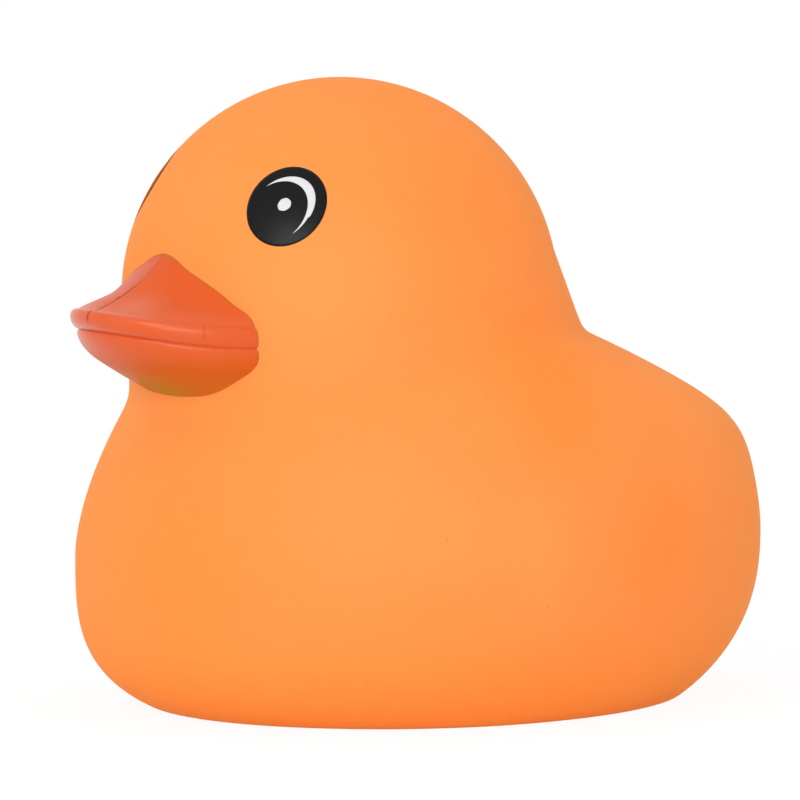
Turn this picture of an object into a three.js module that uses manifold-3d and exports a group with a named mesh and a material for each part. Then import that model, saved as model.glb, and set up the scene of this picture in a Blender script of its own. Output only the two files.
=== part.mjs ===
// Squishy toy duck: one soft moulded piece, with a ball head on a bun body and a short broad bill.
// Millimetres, +Z up. The duck faces -Y, its left side is +X and the origin lies on its flat base.
import * as THREE from 'three';
import { mergeVertices } from 'three/addons/utils/BufferGeometryUtils.js';
import Module from 'manifold-3d';

const { clamp, degToRad, lerp, smoothstep } = THREE.MathUtils;

// Head and neck
const headRadius = 25;
const headHeight = 47.2; // centre of the head above the base
const headForward = 7.9; // centre of the head ahead of the widest part of the body
const neckRadius = 27.5;
const neckDrop = 17.9; // the neck runs down from the head's centre
const neckSetback = 4.6; // and leans back this far
const neckBlend = 1.2; // softness of the crease between neck and body

// Body, with its size at the breast and at the rump
const breastReach = 38;
const rumpReach = 45.2;
const bodyHalfWidth = 34.3;
const breastLevel = 17.4; // height of the widest outline
const rumpLevel = 19.2;
const breastDepth = 20.2; // how far the underside would round down before the base cuts it
const rumpDepth = 26.3;
const breastRise = 39.6; // how far the top would round up inside the head
const rumpRise = 54.8;
const breastSquareness = 3.3; // of the underside: 2 is an ellipse, more is squarer
const rumpSquareness = 2.4;
const topSquareness = 1.62;
const baseEdge = 0.4; // round along the rim of the base

// Back, which slopes down from the neck to a blunt tail
const backMiddle = 24;
const backHeight = 41.4; // at the middle of the back
const backFall = degToRad(24.4);
const backCrownAlong = 158;
const backCrownAcross = 55;
const tailRound = 3;

// Bill, which grows forward from a root inside the head at the height of the mouth
const billRoot = 18; // ahead of the centre of the head
const billDrop = 3.85; // and below it
const billUpturn = 1.68; // how far the mouth line rises from root to tip
const billTail = 8; // part of the bill behind its root
const ridgeSquareness = 1.5; // of the sloping top seen from above: 2 is an ellipse, less is a ridge
const ridgeStart = 0.3; // share of the slope's height over which the ridge forms
const ridgeEnd = 0.64; // and share above which it rounds off again

// Outlines of the bill as half width, reach ahead of the root and height over the mouth line
const crown = new THREE.Vector3(7.8, 5.4, 11.3);
const slopeTop = new THREE.Vector3(10.85, 6.15, 9);
const slopeFoot = new THREE.Vector3(13.85, 9.85, 5.45);
const brow = new THREE.Vector3(13.7, 15.6, 2.35);
const upperLipTop = new THREE.Vector3(14, 17.3, 2.3);
const upperLipFoot = new THREE.Vector3(14, 17, 0.2);
const mouth = new THREE.Vector3(13.55, 15.5, 0);
const lowerLipTop = new THREE.Vector3(13.95, 16.2, -0.3);
const lowerLipFoot = new THREE.Vector3(13.65, 15.35, -2.1);
const jaw = new THREE.Vector3(12.1, 13.1, -3.2);
const bowl = new THREE.Vector3(10.55, 10.6, -4.45);
const chin = new THREE.Vector3(7.25, 2.4, -7.75);

// Fineness of the skin
const bodySides = 64;
const bodyRings = 40;
const domeRings = 10;
const billSides = 44;
const slopeRings = 8;
const lipRings = 6;
const rimRings = 3;
const domeStart = degToRad(45); // rings are closer together above this angle on the head

const headCentre = new THREE.Vector3(0, -headForward, headHeight);
const neckRun = new THREE.Vector3(0, neckSetback, -neckDrop);
const bodyScale = (breastReach + rumpReach + bodyHalfWidth + breastDepth + rumpDepth) / 5; // mean half size

function softMin(a, b, blend) {
  const share = clamp(0.5 + (0.5 * (b - a)) / blend, 0, 1);
  return lerp(b, a, share) - blend * share * (1 - share);
}

function softMax(a, b, blend) {
  return -softMin(-a, -b, blend);
}

// Each form below is negative inside and about the distance in millimetres outside.
function headAndNeck(point) {
  const fromHead = point.clone().sub(headCentre);
  const along = clamp(fromHead.dot(neckRun) / neckRun.lengthSq(), 0, 1);
  return fromHead.addScaledVector(neckRun, -along).length() - lerp(headRadius, neckRadius, along);
}

function bun(point) {
  const rearward = smoothstep(point.y, -breastReach, rumpReach);
  const reach = point.y < 0 ? breastReach : rumpReach;
  const outward = Math.hypot(point.x / bodyHalfWidth, point.y / reach);
  const above = point.z - lerp(breastLevel, rumpLevel, rearward);
  const high = above > 0;
  const tall = high ? lerp(breastRise, rumpRise, rearward) : lerp(breastDepth, rumpDepth, rearward);
  const power = high ? topSquareness : lerp(breastSquareness, rumpSquareness, rearward);
  const size = (outward ** power + Math.abs(above / tall) ** power) ** (1 / power);
  return (size - 1) * bodyScale;
}

function back(point) {
  const y = point.y - backMiddle;
  const z = point.z - backHeight;
  const along = y * Math.cos(backFall) - z * Math.sin(backFall);
  const outward = y * Math.sin(backFall) + z * Math.cos(backFall);
  return outward + along ** 2 / (2 * backCrownAlong) + point.x ** 2 / (2 * backCrownAcross);
}

function rimLift(height) {
  const short = Math.max(baseEdge - height, 0);
  return baseEdge - Math.sqrt(baseEdge ** 2 - short ** 2);
}

function duckForm(point) {
  const body = softMax(bun(point), back(point), tailRound);
  return softMin(headAndNeck(point), body, neckBlend) + rimLift(point.z);
}

// Distance from the ring's axis out to the skin, found by halving.
function skinRadius(axis, direction) {
  let inside = 0;
  let outside = breastReach + rumpReach;
  while (outside - inside > 1e-9) {
    const middle = (inside + outside) / 2;
    if (duckForm(axis.clone().addScaledVector(direction, middle)) < 0) {
      inside = middle;
    } else {
      outside = middle;
    }
  }
  return inside;
}

function skinRing(height) {
  const axis = new THREE.Vector3(0, -headForward * smoothstep(height, rumpLevel, headHeight), height);
  return Array.from({ length: bodySides }, (_, side) => {
    const angle = (side / bodySides) * Math.PI * 2;
    const direction = new THREE.Vector3(Math.cos(angle), Math.sin(angle), 0);
    return axis.clone().addScaledVector(direction, skinRadius(axis, direction));
  });
}

// A closed surface through rings that run anticlockwise and are listed from the bottom up.
function closedSkin(rings, bottom, top) {
  const sides = rings[0].length;
  const corners = [...rings.flat(), bottom, top];
  const bottomIndex = corners.length - 2;
  const topIndex = corners.length - 1;
  const lastRing = (rings.length - 1) * sides;
  const faces = [];
  for (let side = 0; side < sides; side += 1) {
    const next = (side + 1) % sides;
    faces.push(bottomIndex, next, side);
    faces.push(topIndex, lastRing + side, lastRing + next);
    for (let ring = 0; ring < lastRing; ring += sides) {
      faces.push(ring + side, ring + next, ring + sides + next);
      faces.push(ring + side, ring + sides + next, ring + sides + side);
    }
  }
  const geometry = new THREE.BufferGeometry().setFromPoints(corners);
  geometry.setIndex(faces);
  return geometry;
}

// Body, neck and head in one skin
const evenTop = headHeight + headRadius * Math.sin(domeStart);
const heights = [];
for (let ring = 0; ring < rimRings; ring += 1) {
  heights.push(baseEdge * (1 - Math.cos((ring / rimRings) * (Math.PI / 2))));
}
for (let ring = 0; ring < bodyRings; ring += 1) {
  heights.push(lerp(baseEdge, evenTop, ring / bodyRings));
}
for (let ring = 0; ring < domeRings; ring += 1) {
  heights.push(headHeight + headRadius * Math.sin(lerp(domeStart, Math.PI / 2, ring / domeRings)));
}
const headTop = headCentre.clone().setZ(headHeight + headRadius);
const duckSkin = closedSkin(heights.map(skinRing), new THREE.Vector3(), headTop);

// Bill, with a sloping top, two lips around the mouth line and a bowl below
const billCurves = [
  [new THREE.QuadraticBezierCurve3(chin, bowl, jaw), slopeRings],
  [new THREE.CubicBezierCurve3(jaw, lowerLipFoot, lowerLipTop, mouth), lipRings],
  [new THREE.CubicBezierCurve3(mouth, upperLipFoot, upperLipTop, brow), lipRings],
  [new THREE.CubicBezierCurve3(brow, slopeFoot, slopeTop, crown), slopeRings],
];
const billStations = billCurves.flatMap(([curve, rings]) => curve.getPoints(rings).slice(0, rings));
billStations.push(crown);

function billRing(station) {
  const climb = (station.z - brow.z) / (crown.z - brow.z);
  const ridged = smoothstep(climb, 0, ridgeStart) * (1 - smoothstep(climb, ridgeEnd, 1));
  const power = 2 / lerp(2, ridgeSquareness, ridged);
  return Array.from({ length: billSides }, (_, side) => {
    const angle = (side / billSides) * Math.PI * 2;
    const across = Math.cos(angle);
    const forward = -Math.sin(angle);
    const x = station.x * Math.sign(across) * Math.abs(across) ** power;
    const y = forward > 0 ? station.y * forward ** power : billTail * forward;
    const lift = billUpturn * (Math.max(y, 0) / mouth.y) ** 2;
    return new THREE.Vector3(x, -y, station.z + lift);
  });
}

const billBottom = new THREE.Vector3(0, 0, chin.z);
const billTop = new THREE.Vector3(0, 0, crown.z);
const billSkin = closedSkin(billStations.map(billRing), billBottom, billTop);
billSkin.translate(0, headCentre.y - billRoot, headCentre.z - billDrop);

// Join the bill to the head
const wasm = await Module();
wasm.setup();

function toSolid(geometry) {
  geometry.deleteAttribute('normal');
  geometry.deleteAttribute('uv');
  const merged = mergeVertices(geometry);
  const vertProperties = new Float32Array(merged.attributes.position.array);
  const triVerts = new Uint32Array(merged.index.array);
  return new wasm.Manifold(new wasm.Mesh({ numProp: 3, vertProperties, triVerts }));
}

function toGeometry(solid) {
  const mesh = solid.getMesh();
  const geometry = new THREE.BufferGeometry();
  geometry.setAttribute('position', new THREE.BufferAttribute(mesh.vertProperties, 3));
  geometry.setIndex(new THREE.BufferAttribute(mesh.triVerts, 1));
  geometry.computeVertexNormals();
  return geometry;
}

const softOrange = new THREE.MeshStandardMaterial({ color: 0xfe9a4f, roughness: 0.55, metalness: 0 });
const duck = new THREE.Mesh(toGeometry(toSolid(duckSkin).add(toSolid(billSkin))), softOrange);
duck.name = 'duck';

const group = new THREE.Group();
group.name = 'squishy_duck';
group.add(duck);

export default group;
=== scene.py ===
# Squishy toy duck: soft skin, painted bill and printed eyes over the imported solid
import math
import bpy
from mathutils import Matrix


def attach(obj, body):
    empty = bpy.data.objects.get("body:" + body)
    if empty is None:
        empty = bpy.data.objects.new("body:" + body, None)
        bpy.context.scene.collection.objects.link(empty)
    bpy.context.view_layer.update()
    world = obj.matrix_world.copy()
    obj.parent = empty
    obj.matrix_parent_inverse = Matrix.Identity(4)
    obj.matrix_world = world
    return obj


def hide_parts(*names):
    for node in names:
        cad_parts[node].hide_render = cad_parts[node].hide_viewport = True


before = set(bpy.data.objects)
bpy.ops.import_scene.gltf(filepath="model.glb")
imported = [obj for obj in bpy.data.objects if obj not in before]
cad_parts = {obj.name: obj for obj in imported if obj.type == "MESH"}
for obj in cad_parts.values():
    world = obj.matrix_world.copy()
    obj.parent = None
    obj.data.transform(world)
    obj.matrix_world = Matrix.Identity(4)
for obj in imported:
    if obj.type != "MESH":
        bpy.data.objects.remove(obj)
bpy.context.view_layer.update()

from types import SimpleNamespace

import bmesh
import bpy
from mathutils import Vector

mm = 0.001  # sizes below are in millimetres, the meshes in metres
weldReach = 0.0005  # points closer than this are joined


# Wiring: node outputs that can be used in formulas
class Wire:
    def __init__(self, socket):
        self.socket = socket
        self.tree = socket.id_data

    def calc(self, operation, *others):
        return calc(self.tree, operation, self, *others)

    def __add__(self, other):
        return self.calc("ADD", other)

    def __sub__(self, other):
        return self.calc("SUBTRACT", other)

    def __rsub__(self, other):
        return calc(self.tree, "SUBTRACT", other, self)

    def __mul__(self, other):
        return self.calc("MULTIPLY", other)

    def __truediv__(self, other):
        return self.calc("DIVIDE", other)

    def __rtruediv__(self, other):
        return calc(self.tree, "DIVIDE", other, self)

    def __pow__(self, other):
        return self.calc("POWER", other)

    def __neg__(self):
        return self * -1

    def clamped(self):  # held between 0 and 1
        return self.calc("MAXIMUM", 0.0).calc("MINIMUM", 1.0)

    __radd__ = __add__
    __rmul__ = __mul__


def plug(value, socket):
    if isinstance(value, Wire):
        value = value.socket
    if isinstance(value, bpy.types.NodeSocket):
        socket.id_data.links.new(value, socket)
    else:
        socket.default_value = value


def addNode(tree, kind, plugs=None, **settings):
    node = tree.nodes.new(kind)
    for key, value in settings.items():
        setattr(node, key, value)
    for key, value in (plugs or {}).items():
        plug(value, node.inputs[key])
    return node


def calc(tree, operation, *values):
    node = addNode(tree, "ShaderNodeMath", operation=operation)
    for value, socket in zip(values, node.inputs):
        plug(value, socket)
    return Wire(node.outputs[0])


def mixed(low, high, share):
    return low + (high - low) * share


def eased(tree, value, low, high):  # 0 below low, 1 above high, smooth between
    plugs = {"Value": value, "From Min": low, "From Max": high}
    node = addNode(tree, "ShaderNodeMapRange", plugs, interpolation_type="SMOOTHSTEP")
    return Wire(node.outputs[0])


def vector(tree, x, y, z):
    return addNode(tree, "ShaderNodeCombineXYZ", {"X": x, "Y": y, "Z": z}).outputs[0]


def split(tree, socket):
    node = addNode(tree, "ShaderNodeSeparateXYZ", {"Vector": socket})
    return [Wire(output) for output in node.outputs]


def vectorCalc(tree, operation, first, second):  # the node, which gives a vector or a value
    return addNode(tree, "ShaderNodeVectorMath", {0: first, 1: second}, operation=operation)


# Each tree takes a piece's sizes as named inputs and ends in metres, realized and with its material
def startTree(name, sizes):
    tree = bpy.data.node_groups.new(name, "GeometryNodeTree")
    tree.interface.new_socket("Geometry", in_out="INPUT", socket_type="NodeSocketGeometry")
    tree.interface.new_socket("Geometry", in_out="OUTPUT", socket_type="NodeSocketGeometry")
    kinds = {int: "NodeSocketInt", float: "NodeSocketFloat", tuple: "NodeSocketVector"}
    for key, value in sizes.items():
        tree.interface.new_socket(key, in_out="INPUT", socket_type=kinds[type(value)])
    groupInput = tree.nodes.new("NodeGroupInput")
    wires = {key: Wire(groupInput.outputs[key]) for key in sizes}
    return tree, SimpleNamespace(**wires), groupInput.outputs["Geometry"]


def endTree(tree, geometry, material):
    scaled = addNode(tree, "GeometryNodeTransform", {"Geometry": geometry, "Scale": (mm, mm, mm)})
    smooth = addNode(tree, "GeometryNodeSetShadeSmooth", {"Geometry": scaled.outputs[0]})
    real = addNode(tree, "GeometryNodeRealizeInstances", {"Geometry": smooth.outputs[0]})
    plugs = {"Geometry": real.outputs[0], "Material": material}
    painted = addNode(tree, "GeometryNodeSetMaterial", plugs)
    groupOutput = tree.nodes.new("NodeGroupOutput")
    plug(painted.outputs[0], groupOutput.inputs[0])


# A flat grid to roll up, with each point's turn, from 0 to a full circle, and the number of its ring
def ringGrid(tree, sides, rings):
    plugs = {"Size X": 1.0, "Size Y": 1.0, "Vertices X": sides + 1, "Vertices Y": rings}
    grid = addNode(tree, "GeometryNodeMeshGrid", plugs).outputs["Mesh"]
    across, along, _ = split(tree, addNode(tree, "GeometryNodeInputPosition").outputs[0])
    turn = (across + 0.5) * (2 * math.pi)
    ring = ((along + 0.5) * (rings - 1)).calc("ROUND")
    return grid, turn, ring


def moved(tree, geometry, **plugs):
    names = {"position": "Position", "offset": "Offset"}
    sockets = {names[key]: value for key, value in plugs.items()}
    return addNode(tree, "GeometryNodeSetPosition", {"Geometry": geometry, **sockets}).outputs[0]


def welded(tree, geometry):
    plugs = {"Geometry": geometry, "Distance": weldReach}
    return addNode(tree, "GeometryNodeMergeByDistance", plugs).outputs[0]


def makePiece(name, tree, sizes, mesh=None):
    piece = bpy.data.objects.new(name, mesh or bpy.data.meshes.new(name))
    bpy.context.scene.collection.objects.link(piece)
    modifier = piece.modifiers.new(name, "NODES")
    modifier.node_group = tree
    for item in tree.interface.items_tree:
        if item.name in sizes:
            modifier[item.identifier] = sizes[item.name]
    finished = piece.evaluated_get(bpy.context.evaluated_depsgraph_get())
    piece.data = bpy.data.meshes.new_from_object(finished)
    piece.modifiers.remove(modifier)
    print(name, len(piece.data.polygons), "faces")
    return piece


# Finishes
def startFinish(name):
    material = bpy.data.materials.new(name)
    material.use_nodes = True
    tree = material.node_tree
    shader = tree.nodes["Principled BSDF"]
    place = addNode(tree, "ShaderNodeTexCoord").outputs["Object"]
    return material, tree, shader, place


def noise(tree, place, scale, detail=2.0):
    plugs = {"Vector": place, "Scale": scale, "Detail": detail}
    return Wire(addNode(tree, "ShaderNodeTexNoise", plugs).outputs["Fac"])


def blendColour(tree, share, low, high):
    # Sockets 6 and 7 are the node's two colours, and output 2 is their blend
    plugs = {0: share, 6: low, 7: high}
    return addNode(tree, "ShaderNodeMix", plugs, data_type="RGBA").outputs[2]


def bumped(tree, shader, *layers):  # each layer is a height from 0 to 1 and its depth in metres
    normal = None
    for height, depth in layers:
        node = addNode(tree, "ShaderNodeBump", {"Height": height, "Distance": depth, "Strength": 1.0})
        if normal:
            plug(normal, node.inputs["Normal"])
        normal = node.outputs[0]
    plug(normal, shader.inputs["Normal"])


def apart(tree, place, point):  # distance from a point given in millimetres
    return Wire(vectorCalc(tree, "DISTANCE", place, Vector(point) * mm).outputs["Value"])


def apartFromLine(tree, place, first, last):  # the same from a straight line
    run = (Vector(last) - Vector(first)) * mm
    offset = vectorCalc(tree, "SUBTRACT", place, Vector(first) * mm).outputs["Vector"]
    along = Wire(vectorCalc(tree, "DOT_PRODUCT", offset, run / run.length_squared).outputs["Value"])
    plugs = {0: run, "Scale": along.clamped()}
    nearest = addNode(tree, "ShaderNodeVectorMath", plugs, operation="SCALE").outputs["Vector"]
    return Wire(vectorCalc(tree, "DISTANCE", offset, nearest).outputs["Value"])


def softSpot(tree, distance, reach):  # 1 in the middle, 0 past its reach in millimetres
    return 1 - eased(tree, distance, 0.0, reach * mm)


def patches(tree, place, rows):  # the sum of soft spots, each a point, a reach and a strength
    spots = []
    for point, reach, strength in rows:
        spots.append(softSpot(tree, apart(tree, place, point), reach) * strength)
    return sum(spots[1:], spots[0])


skinFinish = {
    "orange": (0.985, 0.280, 0.068, 1),
    # Darker orange for the random mottle and for the patches of painted shade
    "mottleAndShadeOrange": (0.980, 0.251, 0.045, 1),
    # Paler orange for the patches of painted light
    "paintedLightOrange": (0.990, 0.322, 0.094, 1),
    # Fuller orange near the base, painted shade
    "footShadeOrange": (0.985, 0.276, 0.048, 1),
    "speck": (0.45, 0.10, 0.02, 1),
    "mottle": 45.0,  # patches per metre
    "mottleDetail": 3.0,
    "mottleShare": 0.3,
    "footShadeTop": 14.0,  # the colour is fuller and darker below this height, painted shade towards the base
    # Lighter patches of painted light: on the cheek, sides and tail where the lamps fall, a painted
    # highlight on the flank, and under the chin against the bill's shadow
    "paintedLightPatches": (
        ((18.8, -24.0, 49.5), 15.0, 0.5),  # cheek
        ((34.0, -3.5, 23.5), 8.5, 0.3),  # flank
        ((33.8, -3.5, 17.0), 8.5, 0.3),
        ((25.5, 25.0, 32.5), 14.0, 0.25),  # tail
        ((31.7, -12.8, 22.3), 9.0, 0.25),  # side
        ((26.5, -21.5, 24.5), 15.0, 0.3),  # side of the breast
        ((-8.5, -30.5, 35.8), 9.5, 0.6),  # under the chin
    ),
    # Darker patches of painted shade, on the breast, behind the cheek, on the rump, the back of the
    # head and the shoulder
    "paintedShadePatches": (
        ((9.3, -36.4, 18.4), 17.0, 0.55),  # breast
        ((26.5, 0.5, 41.0), 12.0, 0.7),  # behind the cheek
        ((32.3, 14.6, 20.6), 12.0, 0.6),  # rump
        ((21.5, -7.0, 59.8), 13.0, 0.4),  # back of the head
        ((30.5, 2.0, 34.0), 10.0, 0.5),  # shoulder
    ),
    "specks": (
        ((13.45, -30.2, 31.1), 0.2, 0.8),
        ((30.95, -14.75, 22.3), 0.2, 0.7),
        ((34.1, -3.0, 14.3), 0.2, 0.5),
        ((-2.2, -30.45, 57.7), 0.25, 0.5),
    ),
    "neckLine": (38.5, 0.145),  # height at the middle of the body, and climb towards the back
    "neckLineFade": 10.0,  # it grows faint this close to the middle
    "neckLineWidth": 1.0,
    "neckLineDepth": 0.00004,
    "wrinkle": ((28.0, 4.4, 39.2), (30.6, 3.25, 33.75), (32.05, 5.7, 29.2)),
    "wrinkleWidth": 1.0,
    "wrinkleDepth": 0.00003,
    "pores": 2600.0,
    "poreDepth": 0.000012,
    "roughness": (0.60, 0.68),
    "gloss": 0.02,
    "sheen": 0.02,
    "sheenRoughness": 0.3,
    "sheenTint": (1.0, 0.6, 0.25, 1),
    "scatter": 0.35,
    "scatterReach": (1.0, 0.32, 0.12),
    "scatterScale": 0.0035,
}


def softSkinFinish(look):
    material, tree, shader, place = startFinish("softSkin")
    mottle = noise(tree, place, look["mottle"], look["mottleDetail"]) * look["mottleShare"]
    # The darker orange comes from the random mottle and from patches of painted shade
    deep = (mottle + patches(tree, place, look["paintedShadePatches"])).calc("MINIMUM", 1.0)
    # The paler orange is painted light
    pale = patches(tree, place, look["paintedLightPatches"])
    _, along, height = split(tree, place)
    # The colour is painted fuller and darker towards the base, as painted shade
    low = 1 - eased(tree, height, 0.0, look["footShadeTop"] * mm)
    dyed = blendColour(tree, low, look["orange"], look["footShadeOrange"])
    dyed = blendColour(tree, deep, dyed, look["mottleAndShadeOrange"])
    dyed = blendColour(tree, pale, dyed, look["paintedLightOrange"])
    specks = patches(tree, place, look["specks"])
    plug(blendColour(tree, specks, dyed, look["speck"]), shader.inputs["Base Color"])

    level, climb = look["neckLine"]
    offLine = (height - along * climb - level * mm).calc("ABSOLUTE")
    ahead = eased(tree, -along, 0.0, look["neckLineFade"] * mm)
    neckLine = softSpot(tree, offLine, look["neckLineWidth"]) * ahead
    first, middle, last = look["wrinkle"]
    upper = apartFromLine(tree, place, first, middle)
    lower = apartFromLine(tree, place, middle, last)
    wrinkle = softSpot(tree, upper.calc("MINIMUM", lower), look["wrinkleWidth"])
    pores = noise(tree, place, look["pores"])
    creases = (neckLine, look["neckLineDepth"]), (wrinkle, look["wrinkleDepth"])
    bumped(tree, shader, *creases, (pores, look["poreDepth"]))
    plug(mixed(look["roughness"][0], look["roughness"][1], pores), shader.inputs["Roughness"])
    shader.inputs["Subsurface Weight"].default_value = look["scatter"]
    shader.inputs["Subsurface Radius"].default_value = look["scatterReach"]
    shader.inputs["Subsurface Scale"].default_value = look["scatterScale"]
    shader.inputs["Specular IOR Level"].default_value = look["gloss"]
    shader.inputs["Sheen Weight"].default_value = look["sheen"]
    shader.inputs["Sheen Roughness"].default_value = look["sheenRoughness"]
    shader.inputs["Sheen Tint"].default_value = look["sheenTint"]
    return material


billFinish = {
    "red": (0.650, 0.089, 0.0125, 1),
    "brown": (0.56, 0.150, 0.016, 1),
    "olive": (0.40, 0.235, 0.016, 1),
    "edge": (0.45, 0.12, 0.012, 1),
    "line": (0.34, 0.010, 0.003, 1),
    # Paler, pinker colour of a painted reflection of the white surroundings
    "paintedReflection": (0.68, 0.138, 0.055, 1),
    "speck": (0.95, 0.50, 0.36, 1),
    "fadeTop": 44.2,  # the paint turns brown below this height
    "fadeBottom": 37.5,
    "edgeWidth": 0.3,  # the paint is darker where it meets the head
    "edgeShare": 0.6,
    "lineFoot": (45.9, 46.7),  # the line along the ridge fades in between these heights
    "lineTop": (48.8, 51.5),  # and out between these
    "lineAside": 0.12,  # how far it lies on the right side
    "lineWidth": 0.26,
    "lineCore": 0.4,  # share of its width that is full
    "lineTopFade": 0.8,
    "lineWaves": 420.0,  # per metre
    "lineWander": 0.14,
    "lineFaint": 0.55,  # strength in its fainter stretches
    "lineBreaks": (0.35, 0.6),  # and the range of the noise that sets them
    "lineBlot": ((-0.3, -38.25, 48.7), 0.45, 0.9),
    # Painted reflection: a paler, pinker patch on the slope near the ridge
    "hazePatch": ((3.6, -38.5, 48.1), 4.5, 0.8),
    "olivePatch": ((1.5, -32.6, 37.6), 6.5, 0.8),  # under the chin
    "creaseRun": (0.41, 0.91, 0.0),  # the way along the upper lip, which a fine crease crosses
    "creaseAt": -26.76,  # its place on that way
    "creaseHeights": (44.5, 45.0, 46.0, 46.7),  # it fades in and out between these
    "creaseWidth": 0.2,
    "creaseShade": 0.25,
    "specks": (
        ((5.3, -35.6, 48.7), 0.13, 0.5),
        ((12.85, -31.0, 43.6), 0.15, 0.6),
        ((4.5, -41.6, 46.4), 0.15, 0.5),
    ),
    "peel": 900.0,
    "peelDepth": 0.00002,
    "creaseDepth": 0.00006,
    "roughness": (0.39, 0.45),
    "gloss": 0.06,
    "coatFoot": (40.8, 44.4),  # the satin coat ends between these heights, so the chin is matter
    "coatTop": (46.6, 48.2),  # and thins out over the lips
    "coatThin": 0.3,
    "coatRoughness": 0.31,
    "coatBending": 1.36,
}


def billPaintFinish(look):
    material, tree, shader, place = startFinish("billPaint")
    across, _, height = split(tree, place)

    def above(low, high):  # 0 below the one height in millimetres, 1 over the other
        return eased(tree, height, low * mm, high * mm)

    faded = 1 - above(look["fadeBottom"], look["fadeTop"])
    painted = blendColour(tree, faded, look["red"], look["brown"])
    painted = blendColour(tree, patches(tree, place, [look["olivePatch"]]), painted, look["olive"])
    # A paler, pinker patch on the slope near the ridge is a painted reflection of the white
    # surroundings
    painted = blendColour(tree, patches(tree, place, [look["hazePatch"]]), painted, look["paintedReflection"])
    headCentre = (0, -skin["headForward"], skin["headHeight"])
    fromHead = apart(tree, place, headCentre) - skin["headRadius"] * mm
    edge = softSpot(tree, fromHead, look["edgeWidth"]) * look["edgeShare"]
    painted = blendColour(tree, edge, painted, look["edge"])

    wander = noise(tree, place, look["lineWaves"])
    wandered = (wander - 0.5) * (look["lineWander"] * 2 * mm)
    reach = (across + look["lineAside"] * mm + wandered).calc("ABSOLUTE")
    line = 1 - eased(tree, reach, look["lineWidth"] * look["lineCore"] * mm, look["lineWidth"] * mm)
    line = line * above(*look["lineFoot"])
    line = line * (1 - above(*look["lineTop"]) * look["lineTopFade"])
    line = line * mixed(look["lineFaint"], 1.0, eased(tree, wander, *look["lineBreaks"]))
    line = line.calc("MAXIMUM", patches(tree, place, [look["lineBlot"]]))
    onWay = Wire(vectorCalc(tree, "DOT_PRODUCT", place, look["creaseRun"]).outputs["Value"])
    offCrease = (onWay - look["creaseAt"] * mm).calc("ABSOLUTE")
    bottom, low, high, top = look["creaseHeights"]
    onLip = above(bottom, low) * (1 - above(high, top))
    crease = softSpot(tree, offCrease, look["creaseWidth"]) * onLip
    # The ridge line is paint; the darkening along the crease on the lip is painted shade
    lineAndCreaseShade = line.calc("MAXIMUM", crease * look["creaseShade"])
    painted = blendColour(tree, lineAndCreaseShade, painted, look["line"])
    specks = patches(tree, place, look["specks"])
    plug(blendColour(tree, specks, painted, look["speck"]), shader.inputs["Base Color"])

    peel = noise(tree, place, look["peel"])
    bumped(tree, shader, (1 - crease, look["creaseDepth"]), (peel, look["peelDepth"]))
    plug(mixed(look["roughness"][0], look["roughness"][1], peel), shader.inputs["Roughness"])
    shader.inputs["Specular IOR Level"].default_value = look["gloss"]
    coat = above(*look["coatFoot"]) * mixed(1.0, look["coatThin"], above(*look["coatTop"]))
    plug(coat * (1 - line), shader.inputs["Coat Weight"])
    shader.inputs["Coat IOR"].default_value = look["coatBending"]
    shader.inputs["Coat Roughness"].default_value = look["coatRoughness"]
    return material


printLooks = {
    "eyeBlack": {"colour": (0.002, 0.002, 0.0025, 1), "roughness": 0.33, "gloss": 0.16},
    "eyeBlackMatt": {
        "colour": (0.004, 0.0035, 0.0035, 1),
        "roughness": 0.6,
        "gloss": 0.0,
        "sheen": 1.0,  # red brown at a glancing angle
        "sheenTint": (1.0, 0.25, 0.045, 1),
    },
    "eyeWhite": {"colour": (0.665, 0.665, 0.68, 1), "roughness": 0.40, "gloss": 0.10},
}
printGrain = {
    "scale": 1800.0,
    "shade": 0.9,  # share of the colour that is left in its darker specks
    "roughnessSpread": 0.04,
    "sheenRoughness": 0.25,  # low, so that a sheen shows at a glancing angle only
}


def printFinish(name, colour, roughness, gloss, sheen=0.0, sheenTint=(1, 1, 1, 1)):
    material, tree, shader, place = startFinish(name)
    grain = noise(tree, place, printGrain["scale"])
    faded = tuple(channel * printGrain["shade"] for channel in colour[:3]) + (1,)
    plug(blendColour(tree, grain, colour, faded), shader.inputs["Base Color"])
    spread = printGrain["roughnessSpread"]
    plug(mixed(roughness - spread, roughness + spread, grain), shader.inputs["Roughness"])
    shader.inputs["Specular IOR Level"].default_value = gloss
    shader.inputs["Sheen Weight"].default_value = sheen
    shader.inputs["Sheen Roughness"].default_value = printGrain["sheenRoughness"]
    shader.inputs["Sheen Tint"].default_value = sheenTint
    return material


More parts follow.
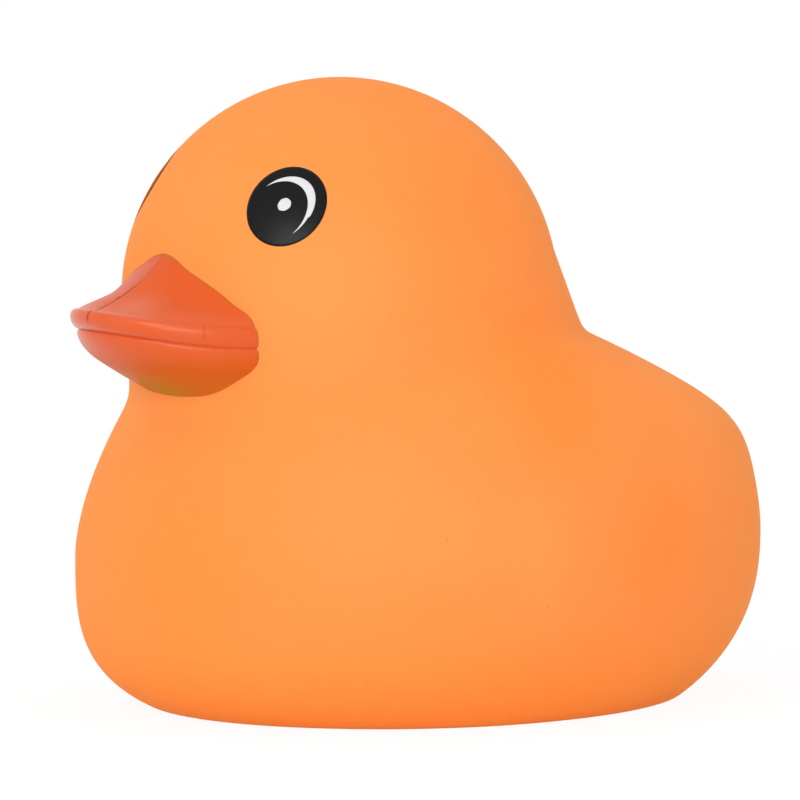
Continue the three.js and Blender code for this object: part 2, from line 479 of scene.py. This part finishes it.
# Soft skin: head, neck and body in one
skin = {
    "headRadius": 25.0,
    "headHeight": 47.2,  # centre of the head above the base
    "headForward": 7.9,  # and ahead of the widest part of the body
    "neckRadius": 27.5,
    "neckDrop": 17.9,  # the neck runs down from the centre of the head
    "neckSetback": 4.6,  # and leans back this far
    "neckBlend": 1.2,  # softness of the crease between neck and body
    "breastReach": 38.0,
    "rumpReach": 45.2,
    "bodyHalfWidth": 34.3,
    "breastLevel": 17.4,  # height of the widest outline
    "rumpLevel": 19.2,
    "breastDepth": 20.2,  # how far the underside would round down before the base cuts it
    "rumpDepth": 26.3,
    "breastRise": 39.6,  # how far the top would round up inside the head
    "rumpRise": 54.8,
    "breastSquareness": 3.3,  # of the underside: 2 is an ellipse, more is squarer
    "rumpSquareness": 2.4,
    "topSquareness": 1.62,
    "baseEdge": 0.4,  # round along the rim of the base
    "backMiddle": 24.0,  # the back slopes down from the neck to the tail
    "backHeight": 41.4,
    "backFall": math.radians(24.4),
    "backCrownAlong": 158.0,
    "backCrownAcross": 55.0,
    "tailRound": 3.0,
    "sides": 360,
    "rings": 190,
    "baseRings": 3,
    "bodyShare": 0.6,  # share of the rings below the middle of the head
    "ringEase": 1.4,  # closer rings near the base
    "baseClosing": 0.05,  # how late the rings of the base close towards its middle
    "startShare": 0.7,  # each point starts this far out in the head
    "stepShare": 0.8,
    "settleSteps": 60,
}


def duckForm(tree, s, place):  # negative inside, about the distance in millimetres outside
    x, y, z = split(tree, place)
    headY = y + s.headForward
    headZ = z - s.headHeight
    run = s.neckSetback ** 2 + s.neckDrop ** 2
    along = ((headY * s.neckSetback - headZ * s.neckDrop) / run).clamped()
    aside = x ** 2 + (headY - along * s.neckSetback) ** 2 + (headZ + along * s.neckDrop) ** 2
    headAndNeck = aside.calc("SQRT") - mixed(s.headRadius, s.neckRadius, along)

    rearward = eased(tree, y, -s.breastReach, s.rumpReach)
    reach = mixed(s.rumpReach, s.breastReach, y.calc("LESS_THAN", 0.0))
    outward = ((x / s.bodyHalfWidth) ** 2 + (y / reach) ** 2).calc("SQRT")
    above = z - mixed(s.breastLevel, s.rumpLevel, rearward)
    high = above.calc("GREATER_THAN", 0.0)
    rise = mixed(s.breastRise, s.rumpRise, rearward)
    depth = mixed(s.breastDepth, s.rumpDepth, rearward)
    squareness = mixed(s.breastSquareness, s.rumpSquareness, rearward)
    power = mixed(squareness, s.topSquareness, high)
    tall = (above / mixed(depth, rise, high)).calc("ABSOLUTE")
    size = (outward ** power + tall ** power) ** (1 / power)
    halfSize = (s.breastReach + s.rumpReach + s.bodyHalfWidth + s.breastDepth + s.rumpDepth) / 5
    bun = (size - 1) * halfSize

    backY = y - s.backMiddle
    backZ = z - s.backHeight
    fallSine = s.backFall.calc("SINE")
    fallCosine = s.backFall.calc("COSINE")
    downBack = backY * fallCosine - backZ * fallSine
    crown = downBack ** 2 / (s.backCrownAlong * 2) + x ** 2 / (s.backCrownAcross * 2)
    back = backY * fallSine + backZ * fallCosine + crown

    # These nodes blend with a cubic, which takes one and a half times the reach of a square to match
    body = bun.calc("SMOOTH_MAX", back, s.tailRound * 1.5)
    whole = headAndNeck.calc("SMOOTH_MIN", body, s.neckBlend * 1.5)
    short = (s.baseEdge - z).calc("MAXIMUM", 0.0)
    rimLift = s.baseEdge - (s.baseEdge ** 2 - short ** 2).calc("MAXIMUM", 0.0).calc("SQRT")
    return whole + rimLift


def skinTree(sizes, material):
    tree, s, _ = startTree("duckSkin", sizes)
    grid, turn, ring = ringGrid(tree, s.sides, s.rings)
    inset = (ring / s.baseRings).calc("MINIMUM", 1.0) ** s.baseClosing
    climb = ((ring - s.baseRings) / (s.rings - 1 - s.baseRings)).calc("MAXIMUM", 0.0)
    level = s.headHeight * (climb / s.bodyShare).calc("MINIMUM", 1.0) ** s.ringEase
    tilt = ((climb - s.bodyShare) / (1 - s.bodyShare)).calc("MAXIMUM", 0.0) * (math.pi / 2)
    axisY = -s.headForward * eased(tree, level, s.rumpLevel, s.headHeight)

    flat = tilt.calc("COSINE")
    rayX = turn.calc("COSINE") * flat
    rayY = turn.calc("SINE") * flat
    rayZ = tilt.calc("SINE")
    start = s.headRadius * s.startShare
    origin = vector(tree, rayX * start, axisY + rayY * start, level + rayZ * start)
    rayPlugs = {"Geometry": grid, "Name": "ray", "Value": vector(tree, rayX, rayY, rayZ)}
    rays = addNode(tree, "GeometryNodeStoreNamedAttribute", rayPlugs, data_type="FLOAT_VECTOR")
    insetPlugs = {"Geometry": rays.outputs[0], "Name": "inset", "Value": inset}
    insets = addNode(tree, "GeometryNodeStoreNamedAttribute", insetPlugs, data_type="FLOAT")
    rolled = moved(tree, insets.outputs[0], position=origin)

    # Each point walks out along its ray until it lies on the form
    repeatIn = tree.nodes.new("GeometryNodeRepeatInput")
    repeatOut = tree.nodes.new("GeometryNodeRepeatOutput")
    repeatIn.pair_with_output(repeatOut)
    plug(s.settleSteps, repeatIn.inputs["Iterations"])
    plug(rolled, repeatIn.inputs["Geometry"])
    here = addNode(tree, "GeometryNodeInputPosition").outputs[0]
    ray = addNode(tree, "GeometryNodeInputNamedAttribute", {"Name": "ray"}, data_type="FLOAT_VECTOR")
    step = -duckForm(tree, s, here) * s.stepShare
    walk = addNode(tree, "ShaderNodeVectorMath", {0: ray.outputs[0], "Scale": step}, operation="SCALE")
    walked = moved(tree, repeatIn.outputs["Geometry"], offset=walk.outputs[0])
    plug(walked, repeatOut.inputs["Geometry"])

    x, y, z = split(tree, addNode(tree, "GeometryNodeInputPosition").outputs[0])
    share = Wire(addNode(tree, "GeometryNodeInputNamedAttribute", {"Name": "inset"}).outputs[0])
    based = moved(tree, repeatOut.outputs["Geometry"], position=vector(tree, x * share, y * share, z))
    endTree(tree, welded(tree, based), material)
    return tree


# Bill: rings that follow four curves from chin to crown, whose points are given as
# half width, reach ahead of the root and height over the mouth line
bill = {
    "crown": (7.8, 5.4, 11.3),
    "slopeTop": (10.85, 6.15, 9.0),
    "slopeFoot": (13.85, 9.85, 5.45),
    "brow": (13.7, 15.6, 2.35),
    "upperLipTop": (14.0, 17.3, 2.3),
    "upperLipFoot": (14.0, 17.0, 0.2),
    "mouth": (13.55, 15.5, 0.0),
    "lowerLipTop": (13.95, 16.2, -0.3),
    "lowerLipFoot": (13.65, 15.35, -2.1),
    "jaw": (12.1, 13.1, -3.2),
    "bowl": (10.55, 10.6, -4.45),
    "chin": (7.25, 2.4, -7.75),
    "tail": 8.0,  # part behind the root, inside the head
    "upturn": 1.68,  # how far the tip curves up
    "ridgeSquareness": 1.5,  # of the slope seen from above: 2 is an ellipse, less is a ridge
    "ridgeStart": 0.3,  # share of the slope's height over which the ridge forms
    "ridgeEnd": 0.64,  # and share above which it rounds off again
    # The root lies ahead of the centre of the head and below it
    "root": (0.0, -skin["headForward"] - 18.0, skin["headHeight"] - 3.85),
    "sides": 240,
    "ringsEach": 30,
    "curvePoints": 96,
}


def billTree(sizes, material):
    tree, s, _ = startTree("duckBill", sizes)
    stretches = 4  # chin, lower lip, upper lip and slope
    lastStation = s.ringsEach * stretches
    grid, turn, ring = ringGrid(tree, s.sides, lastStation + 3)
    station = (ring - 1).calc("MAXIMUM", 0.0).calc("MINIMUM", lastStation)
    stretch = (station / s.ringsEach).calc("FLOOR").calc("MINIMUM", stretches - 1)
    share = station / s.ringsEach - stretch
    # The first and the last ring draw in to a point, which closes the ends
    spread = (ring - 0.5).calc("GREATER_THAN", 0.0) * (ring - lastStation).calc("LESS_THAN", 1.5)

    handles = ("Start", "Start Handle", "End Handle", "End")
    chinCurve = {"Start": s.chin, "Middle": s.bowl, "End": s.jaw}
    lowerLip = dict(zip(handles, (s.jaw, s.lowerLipFoot, s.lowerLipTop, s.mouth)))
    upperLip = dict(zip(handles, (s.mouth, s.upperLipFoot, s.upperLipTop, s.brow)))
    slopeCurve = dict(zip(handles, (s.brow, s.slopeFoot, s.slopeTop, s.crown)))
    curves = []
    for points in (chinCurve, lowerLip, upperLip, slopeCurve):
        bent = "Middle" in points
        kind = "GeometryNodeCurveQuadraticBezier" if bent else "GeometryNodeCurvePrimitiveBezierSegment"
        curves.append(addNode(tree, kind, {**points, "Resolution": s.curvePoints}).outputs[0])
    chosen = addNode(tree, "GeometryNodeIndexSwitch", {"Index": stretch}, data_type="VECTOR")
    while len(chosen.index_switch_items) < len(curves):
        chosen.index_switch_items.new()
    for number, curve in enumerate(curves):
        plugs = {"Curves": curve, "Factor": share}
        sample = addNode(tree, "GeometryNodeSampleCurve", plugs, mode="FACTOR")
        plug(sample.outputs["Position"], chosen.inputs[number + 1])
    halfWidth, reach, height = split(tree, chosen.outputs[0])

    _, _, browHeight = split(tree, s.brow.socket)
    _, _, crownHeight = split(tree, s.crown.socket)
    climb = (height - browHeight) / (crownHeight - browHeight)
    ridged = eased(tree, climb, 0.0, s.ridgeStart) * (1 - eased(tree, climb, s.ridgeEnd, 1.0))
    power = 2 / mixed(2.0, s.ridgeSquareness, ridged)
    across = turn.calc("COSINE")
    ahead = -turn.calc("SINE")
    front = ahead.calc("GREATER_THAN", 0.0)
    x = halfWidth * across.calc("SIGN") * across.calc("ABSOLUTE") ** power * spread
    y = mixed(s.tail * ahead, reach * ahead.calc("ABSOLUTE") ** power, front) * spread
    _, mouthReach, _ = split(tree, s.mouth.socket)
    lift = s.upturn * (y.calc("MAXIMUM", 0.0) / mouthReach) ** 2
    ringed = moved(tree, grid, position=vector(tree, x, -y, height + lift))
    plugs = {"Geometry": welded(tree, ringed), "Translation": s.root}
    placed = addNode(tree, "GeometryNodeTransform", plugs)
    endTree(tree, placed.outputs[0], material)
    return tree


# Eye prints: thin films made flat, then laid on the ball of the head
eye = {
    "bearing": math.radians(38.81),  # round from the bill
    "rightShift": math.radians(1.0),  # the right eye is printed a little further round
    "rightRise": math.radians(1.45),  # and higher
    "rise": math.radians(29.7),
    "halfSizes": (4.64, 5.04),
    "tilt": math.radians(-18.8),
    "moonHalfSizes": (3.46, 4.15),
    "moonTilt": math.radians(-37.0),
    "moonOuter": (-0.38, -0.26),
    "moonInner": (-1.17, -0.91),
    "dotHalfSizes": (0.74, 0.83),
    "dotCentre": (-0.18, 0.03),
    "dotSides": 40,
    "dotRings": 5,
    "dotUneven": 0.04,
    "moonNick": 0.3,  # share of its width that is missing near the lower end
    "moonNickAt": 0.6,
    "blackLift": 0.015,
    "whiteLift": 0.025,
    "depth": 0.08,
}


def layOnHeadTree(sizes, material):
    tree, s, flat = startTree("layOnHead", sizes)
    x, y, z = split(tree, addNode(tree, "GeometryNodeInputPosition").outputs[0])
    away = (x ** 2 + y ** 2).calc("SQRT").calc("MAXIMUM", 1e-6)
    bend = away / s.headRadius
    radius = s.headRadius + z
    aside = radius * bend.calc("SINE") / away
    onBall = vector(tree, x * aside, y * aside, radius * bend.calc("COSINE"))
    curved = moved(tree, flat, position=onBall)
    turn = vector(tree, math.pi / 2 - s.rise, 0.0, s.bearing)
    centre = vector(tree, 0.0, -s.headForward, s.headHeight)
    plugs = {"Geometry": curved, "Translation": centre, "Rotation": turn}
    placed = addNode(tree, "GeometryNodeTransform", plugs)
    endTree(tree, placed.outputs[0], material)
    return tree


def ovalPoint(centre, halfSizes, tilt, angle, share=1.0):
    along = halfSizes[0] * math.cos(angle) * share
    across = halfSizes[1] * math.sin(angle) * share
    turnedX = along * math.cos(tilt) - across * math.sin(tilt)
    turnedY = along * math.sin(tilt) + across * math.cos(tilt)
    return Vector((centre[0] + turnedX, centre[1] + turnedY, 0))


def ripple(angle):  # two waves round a rim, between -1 and 1
    return (math.sin(3 * angle + 0.5) + math.sin(7 * angle)) / 2


def ovalRows(centre, halfSizes, tilt, sides=96, rings=16, uneven=0.0):
    rows = []
    for ring in range(rings + 1):
        row = []
        for side in range(sides):
            angle = 2 * math.pi * side / sides
            share = (1 + uneven * ripple(angle)) * ring / rings
            row.append(ovalPoint(centre, halfSizes, tilt, angle, share))
        rows.append(row)
    return rows, True


def moonRows(look, nick, steps=72, bands=6):
    first, second = look["moonHalfSizes"]
    tilt = look["moonTilt"]
    shift = Vector(look["moonOuter"]) - Vector(look["moonInner"])
    shiftX = (shift.x * math.cos(tilt) + shift.y * math.sin(tilt)) / first
    shiftY = (shift.y * math.cos(tilt) - shift.x * math.sin(tilt)) / second
    middle = math.atan2(shiftY, shiftX)
    lean = math.asin(math.hypot(shiftX, shiftY) / 2)
    rows = []
    for band in range(bands + 1):
        row = []
        for step in range(steps + 1):
            swing = 2 * step / steps - 1
            outerAngle = middle + swing * (math.pi / 2 + lean)
            innerAngle = middle + swing * (math.pi / 2 - lean)
            outer = ovalPoint(look["moonOuter"], look["moonHalfSizes"], tilt, outerAngle)
            inner = ovalPoint(look["moonInner"], look["moonHalfSizes"], tilt, innerAngle)
            kept = 1 - nick if swing < -look["moonNickAt"] else 1
            row.append(inner.lerp(outer, kept * band / bands))
        rows.append(row)
    return rows, False


def filmMesh(name, rows, ringed, side, lift, depth):  # a closed thin film, flat in x and y
    sheet = bmesh.new()
    corners = [[sheet.verts.new((point.x * side, point.y, lift)) for point in row] for row in rows]
    for low, high in zip(corners, corners[1:]):
        count = len(low)
        for step in range(count if ringed else count - 1):
            following = (step + 1) % count
            sheet.faces.new((low[step], low[following], high[following], high[step]))
    bmesh.ops.remove_doubles(sheet, verts=sheet.verts, dist=1e-5)
    bmesh.ops.recalc_face_normals(sheet, faces=sheet.faces)
    if sum(face.normal.z for face in sheet.faces) < 0:
        bmesh.ops.reverse_faces(sheet, faces=sheet.faces)
    under = bmesh.ops.duplicate(sheet, geom=sheet.faces[:])
    underFaces = [item for item in under["geom"] if isinstance(item, bmesh.types.BMFace)]
    underVerts = [item for item in under["geom"] if isinstance(item, bmesh.types.BMVert)]
    bmesh.ops.translate(sheet, verts=underVerts, vec=(0, 0, -depth))
    bmesh.ops.reverse_faces(sheet, faces=underFaces)
    rims = [edge for edge in sheet.edges if edge.is_boundary]
    bmesh.ops.bridge_loops(sheet, edges=rims)
    bmesh.ops.recalc_face_normals(sheet, faces=sheet.faces)
    mesh = bpy.data.meshes.new(name)
    sheet.to_mesh(mesh)
    sheet.free()
    return mesh


def makePrint(name, shape, side, lift, tree):
    rows, ringed = shape
    mesh = filmMesh(name, rows, ringed, side, lift, eye["depth"])
    sizes = {key: skin[key] for key in ("headRadius", "headForward", "headHeight")}
    bearing = eye["bearing"] if side > 0 else -eye["bearing"] - eye["rightShift"]
    rise = eye["rise"] if side > 0 else eye["rise"] + eye["rightRise"]
    return makePiece(name, tree, {**sizes, "rise": rise, "bearing": bearing}, mesh)


softSkin = makePiece("softSkin", skinTree(skin, softSkinFinish(skinFinish)), skin)
billPaint = makePiece("billPaint", billTree(bill, billPaintFinish(billFinish)), bill)

eyeBlack, eyeBlackMatt, eyeWhite = [printFinish(name, **look) for name, look in printLooks.items()]
wrapSizes = {"headRadius": 0.0, "headForward": 0.0, "headHeight": 0.0, "rise": 0.0, "bearing": 0.0}
whiteTree = layOnHeadTree(wrapSizes, eyeWhite)
prints = []
for sideName, side, black in (("Left", 1, eyeBlack), ("Right", -1, eyeBlackMatt)):
    blackTree = layOnHeadTree(wrapSizes, black)
    worn = 1 if side > 0 else 0  # the left prints are a little uneven
    oval = ovalRows((0, 0), eye["halfSizes"], eye["tilt"])
    moon = moonRows(eye, eye["moonNick"] * worn)
    dotForm = eye["dotCentre"], eye["dotHalfSizes"], eye["moonTilt"], eye["dotSides"], eye["dotRings"]
    spot = ovalRows(*dotForm, eye["dotUneven"] * worn)
    blackPrint = makePrint("eyeBlack" + sideName, oval, side, eye["blackLift"], blackTree)
    moonPrint = makePrint("eyeMoon" + sideName, moon, side, eye["whiteLift"], whiteTree)
    dotPrint = makePrint("eyeDot" + sideName, spot, side, eye["whiteLift"], whiteTree)
    prints += [(blackPrint, "eye_black"), (moonPrint, "eye_white"), (dotPrint, "eye_white")]

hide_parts("duck")
for piece, slotName in [(softSkin, "soft_skin"), (billPaint, "bill_paint"), *prints]:
    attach(piece, "root")
print("duck dressed")


# Camera at the photograph's angle
cameraView = {
    "azimuth": math.radians(55.0),
    "elevation": math.radians(6.0),
    "distance": 2.0,
    "target": (0.0, 0.0, 0.035),
    "aside": 0.000371,
    "raise": -0.000267,
    "widthSeen": 0.8 / 8.725,  # metres across the picture at the duck
    "sensorWidth": 36.0,
    "clipEnd": 20.0,
}


def placeCamera(look):
    sine, cosine = math.sin(look["azimuth"]), math.cos(look["azimuth"])
    flat = math.cos(look["elevation"])
    back = Vector((sine * flat, -cosine * flat, math.sin(look["elevation"])))
    right = Vector((cosine, sine, 0))
    up = back.cross(right)
    target = Vector(look["target"]) + right * look["aside"] + up * look["raise"]
    lens = bpy.data.cameras.new("photoCamera")
    lens.sensor_width = look["sensorWidth"]
    lens.lens = lens.sensor_width * look["distance"] / look["widthSeen"]
    lens.clip_end = look["clipEnd"]
    camera = bpy.data.objects.new("photoCamera", lens)
    camera.location = target + back * look["distance"]
    camera.rotation_euler = back.to_track_quat("Z", "Y").to_euler()
    bpy.context.scene.collection.objects.link(camera)
    bpy.context.scene.camera = camera
    return target, back, right, up


target, back, right, up = placeCamera(cameraView)

# Studio: white floor and surroundings, a soft lamp high at the left and one close to the line of sight
studio = {
    "floorSize": 6.0,
    "floorTone": 0.86,
    "floorRoughness": 0.9,
    "floorGlow": 0.25,  # it is a light table, so the rim of the base stays bright
    "shadowShare": 0.1,  # how much of its shadow the white floor shows
    "openLevel": 0.76,  # how bright the lamps alone leave the open floor
    "levelAround": 0.8,
    "levelAbove": 0.9,
    "keyLamp": {
        "watts": 3.3,
        "width": 0.4,
        "height": 0.26,
        "aside": -0.5,
        "raise": 0.55,
        "ahead": 1.0,
    },
    "frontLamp": {
        "watts": 2.6,
        "width": 0.6,
        "height": 0.17,
        "aside": -0.09,
        "raise": 0.07,
        "ahead": 1.0,
    },
}


def seenDirectly(tree):  # camera, glossy and transmission rays
    path = addNode(tree, "ShaderNodeLightPath")
    camera = Wire(path.outputs["Is Camera Ray"])
    glossy = Wire(path.outputs["Is Glossy Ray"])
    through = Wire(path.outputs["Is Transmission Ray"])
    return (camera + glossy + through).calc("MINIMUM", 1.0)


def makeFloor(look):
    half = look["floorSize"] / 2
    mesh = bpy.data.meshes.new("floor")
    corners = [(-half, -half, 0), (half, -half, 0), (half, half, 0), (-half, half, 0)]
    mesh.from_pydata(corners, [], [(0, 1, 2, 3)])
    floor = bpy.data.objects.new("floor", mesh)
    bpy.context.scene.collection.objects.link(floor)
    material = bpy.data.materials.new("paleFloor")
    material.use_nodes = True
    tree = material.node_tree
    shader = tree.nodes["Principled BSDF"]
    shader.inputs["Base Color"].default_value = (look["floorTone"],) * 3 + (1,)
    shader.inputs["Roughness"].default_value = look["floorRoughness"]
    plain = 1 - look["shadowShare"]
    strength = (1 - look["shadowShare"] * look["openLevel"]) / plain  # the open floor comes to 1, white
    glow = addNode(tree, "ShaderNodeEmission", {"Color": (1, 1, 1, 1), "Strength": strength})
    share = mixed(look["floorGlow"], plain, seenDirectly(tree))
    white = addNode(tree, "ShaderNodeMixShader", {0: share, 1: shader.outputs[0], 2: glow.outputs[0]})
    clear = addNode(tree, "ShaderNodeBsdfTransparent")
    facing = addNode(tree, "ShaderNodeNewGeometry").outputs["Backfacing"]
    both = addNode(tree, "ShaderNodeMixShader", {0: facing, 1: white.outputs[0], 2: clear.outputs[0]})
    plug(both.outputs[0], tree.nodes["Material Output"].inputs["Surface"])
    mesh.materials.append(material)


def makeWorld(look):
    world = bpy.data.worlds.new("studio")
    world.use_nodes = True
    bpy.context.scene.world = world
    tree = world.node_tree
    background = tree.nodes["Background"]
    background.inputs["Color"].default_value = (1, 1, 1, 1)
    _, _, height = split(tree, addNode(tree, "ShaderNodeTexCoord").outputs["Generated"])
    level = mixed(look["levelAround"], look["levelAbove"], height.calc("MAXIMUM", 0.0))
    plug(mixed(level, 1.0, seenDirectly(tree)), background.inputs["Strength"])


def makeLamp(name, look):
    lamp = bpy.data.lights.new(name, "AREA")
    lamp.shape = "RECTANGLE"
    lamp.size = look["width"]
    lamp.size_y = look["height"]
    lamp.energy = look["watts"]
    stand = bpy.data.objects.new(name, lamp)
    stand.location = target + right * look["aside"] + up * look["raise"] + back * look["ahead"]
    stand.rotation_euler = (stand.location - target).to_track_quat("Z", "Y").to_euler()
    bpy.context.scene.collection.objects.link(stand)


makeFloor(studio)
makeWorld(studio)
makeLamp("keyLamp", studio["keyLamp"])
makeLamp("frontLamp", studio["frontLamp"])
bpy.context.scene.view_settings.view_transform = "Standard"
print("studio ready")
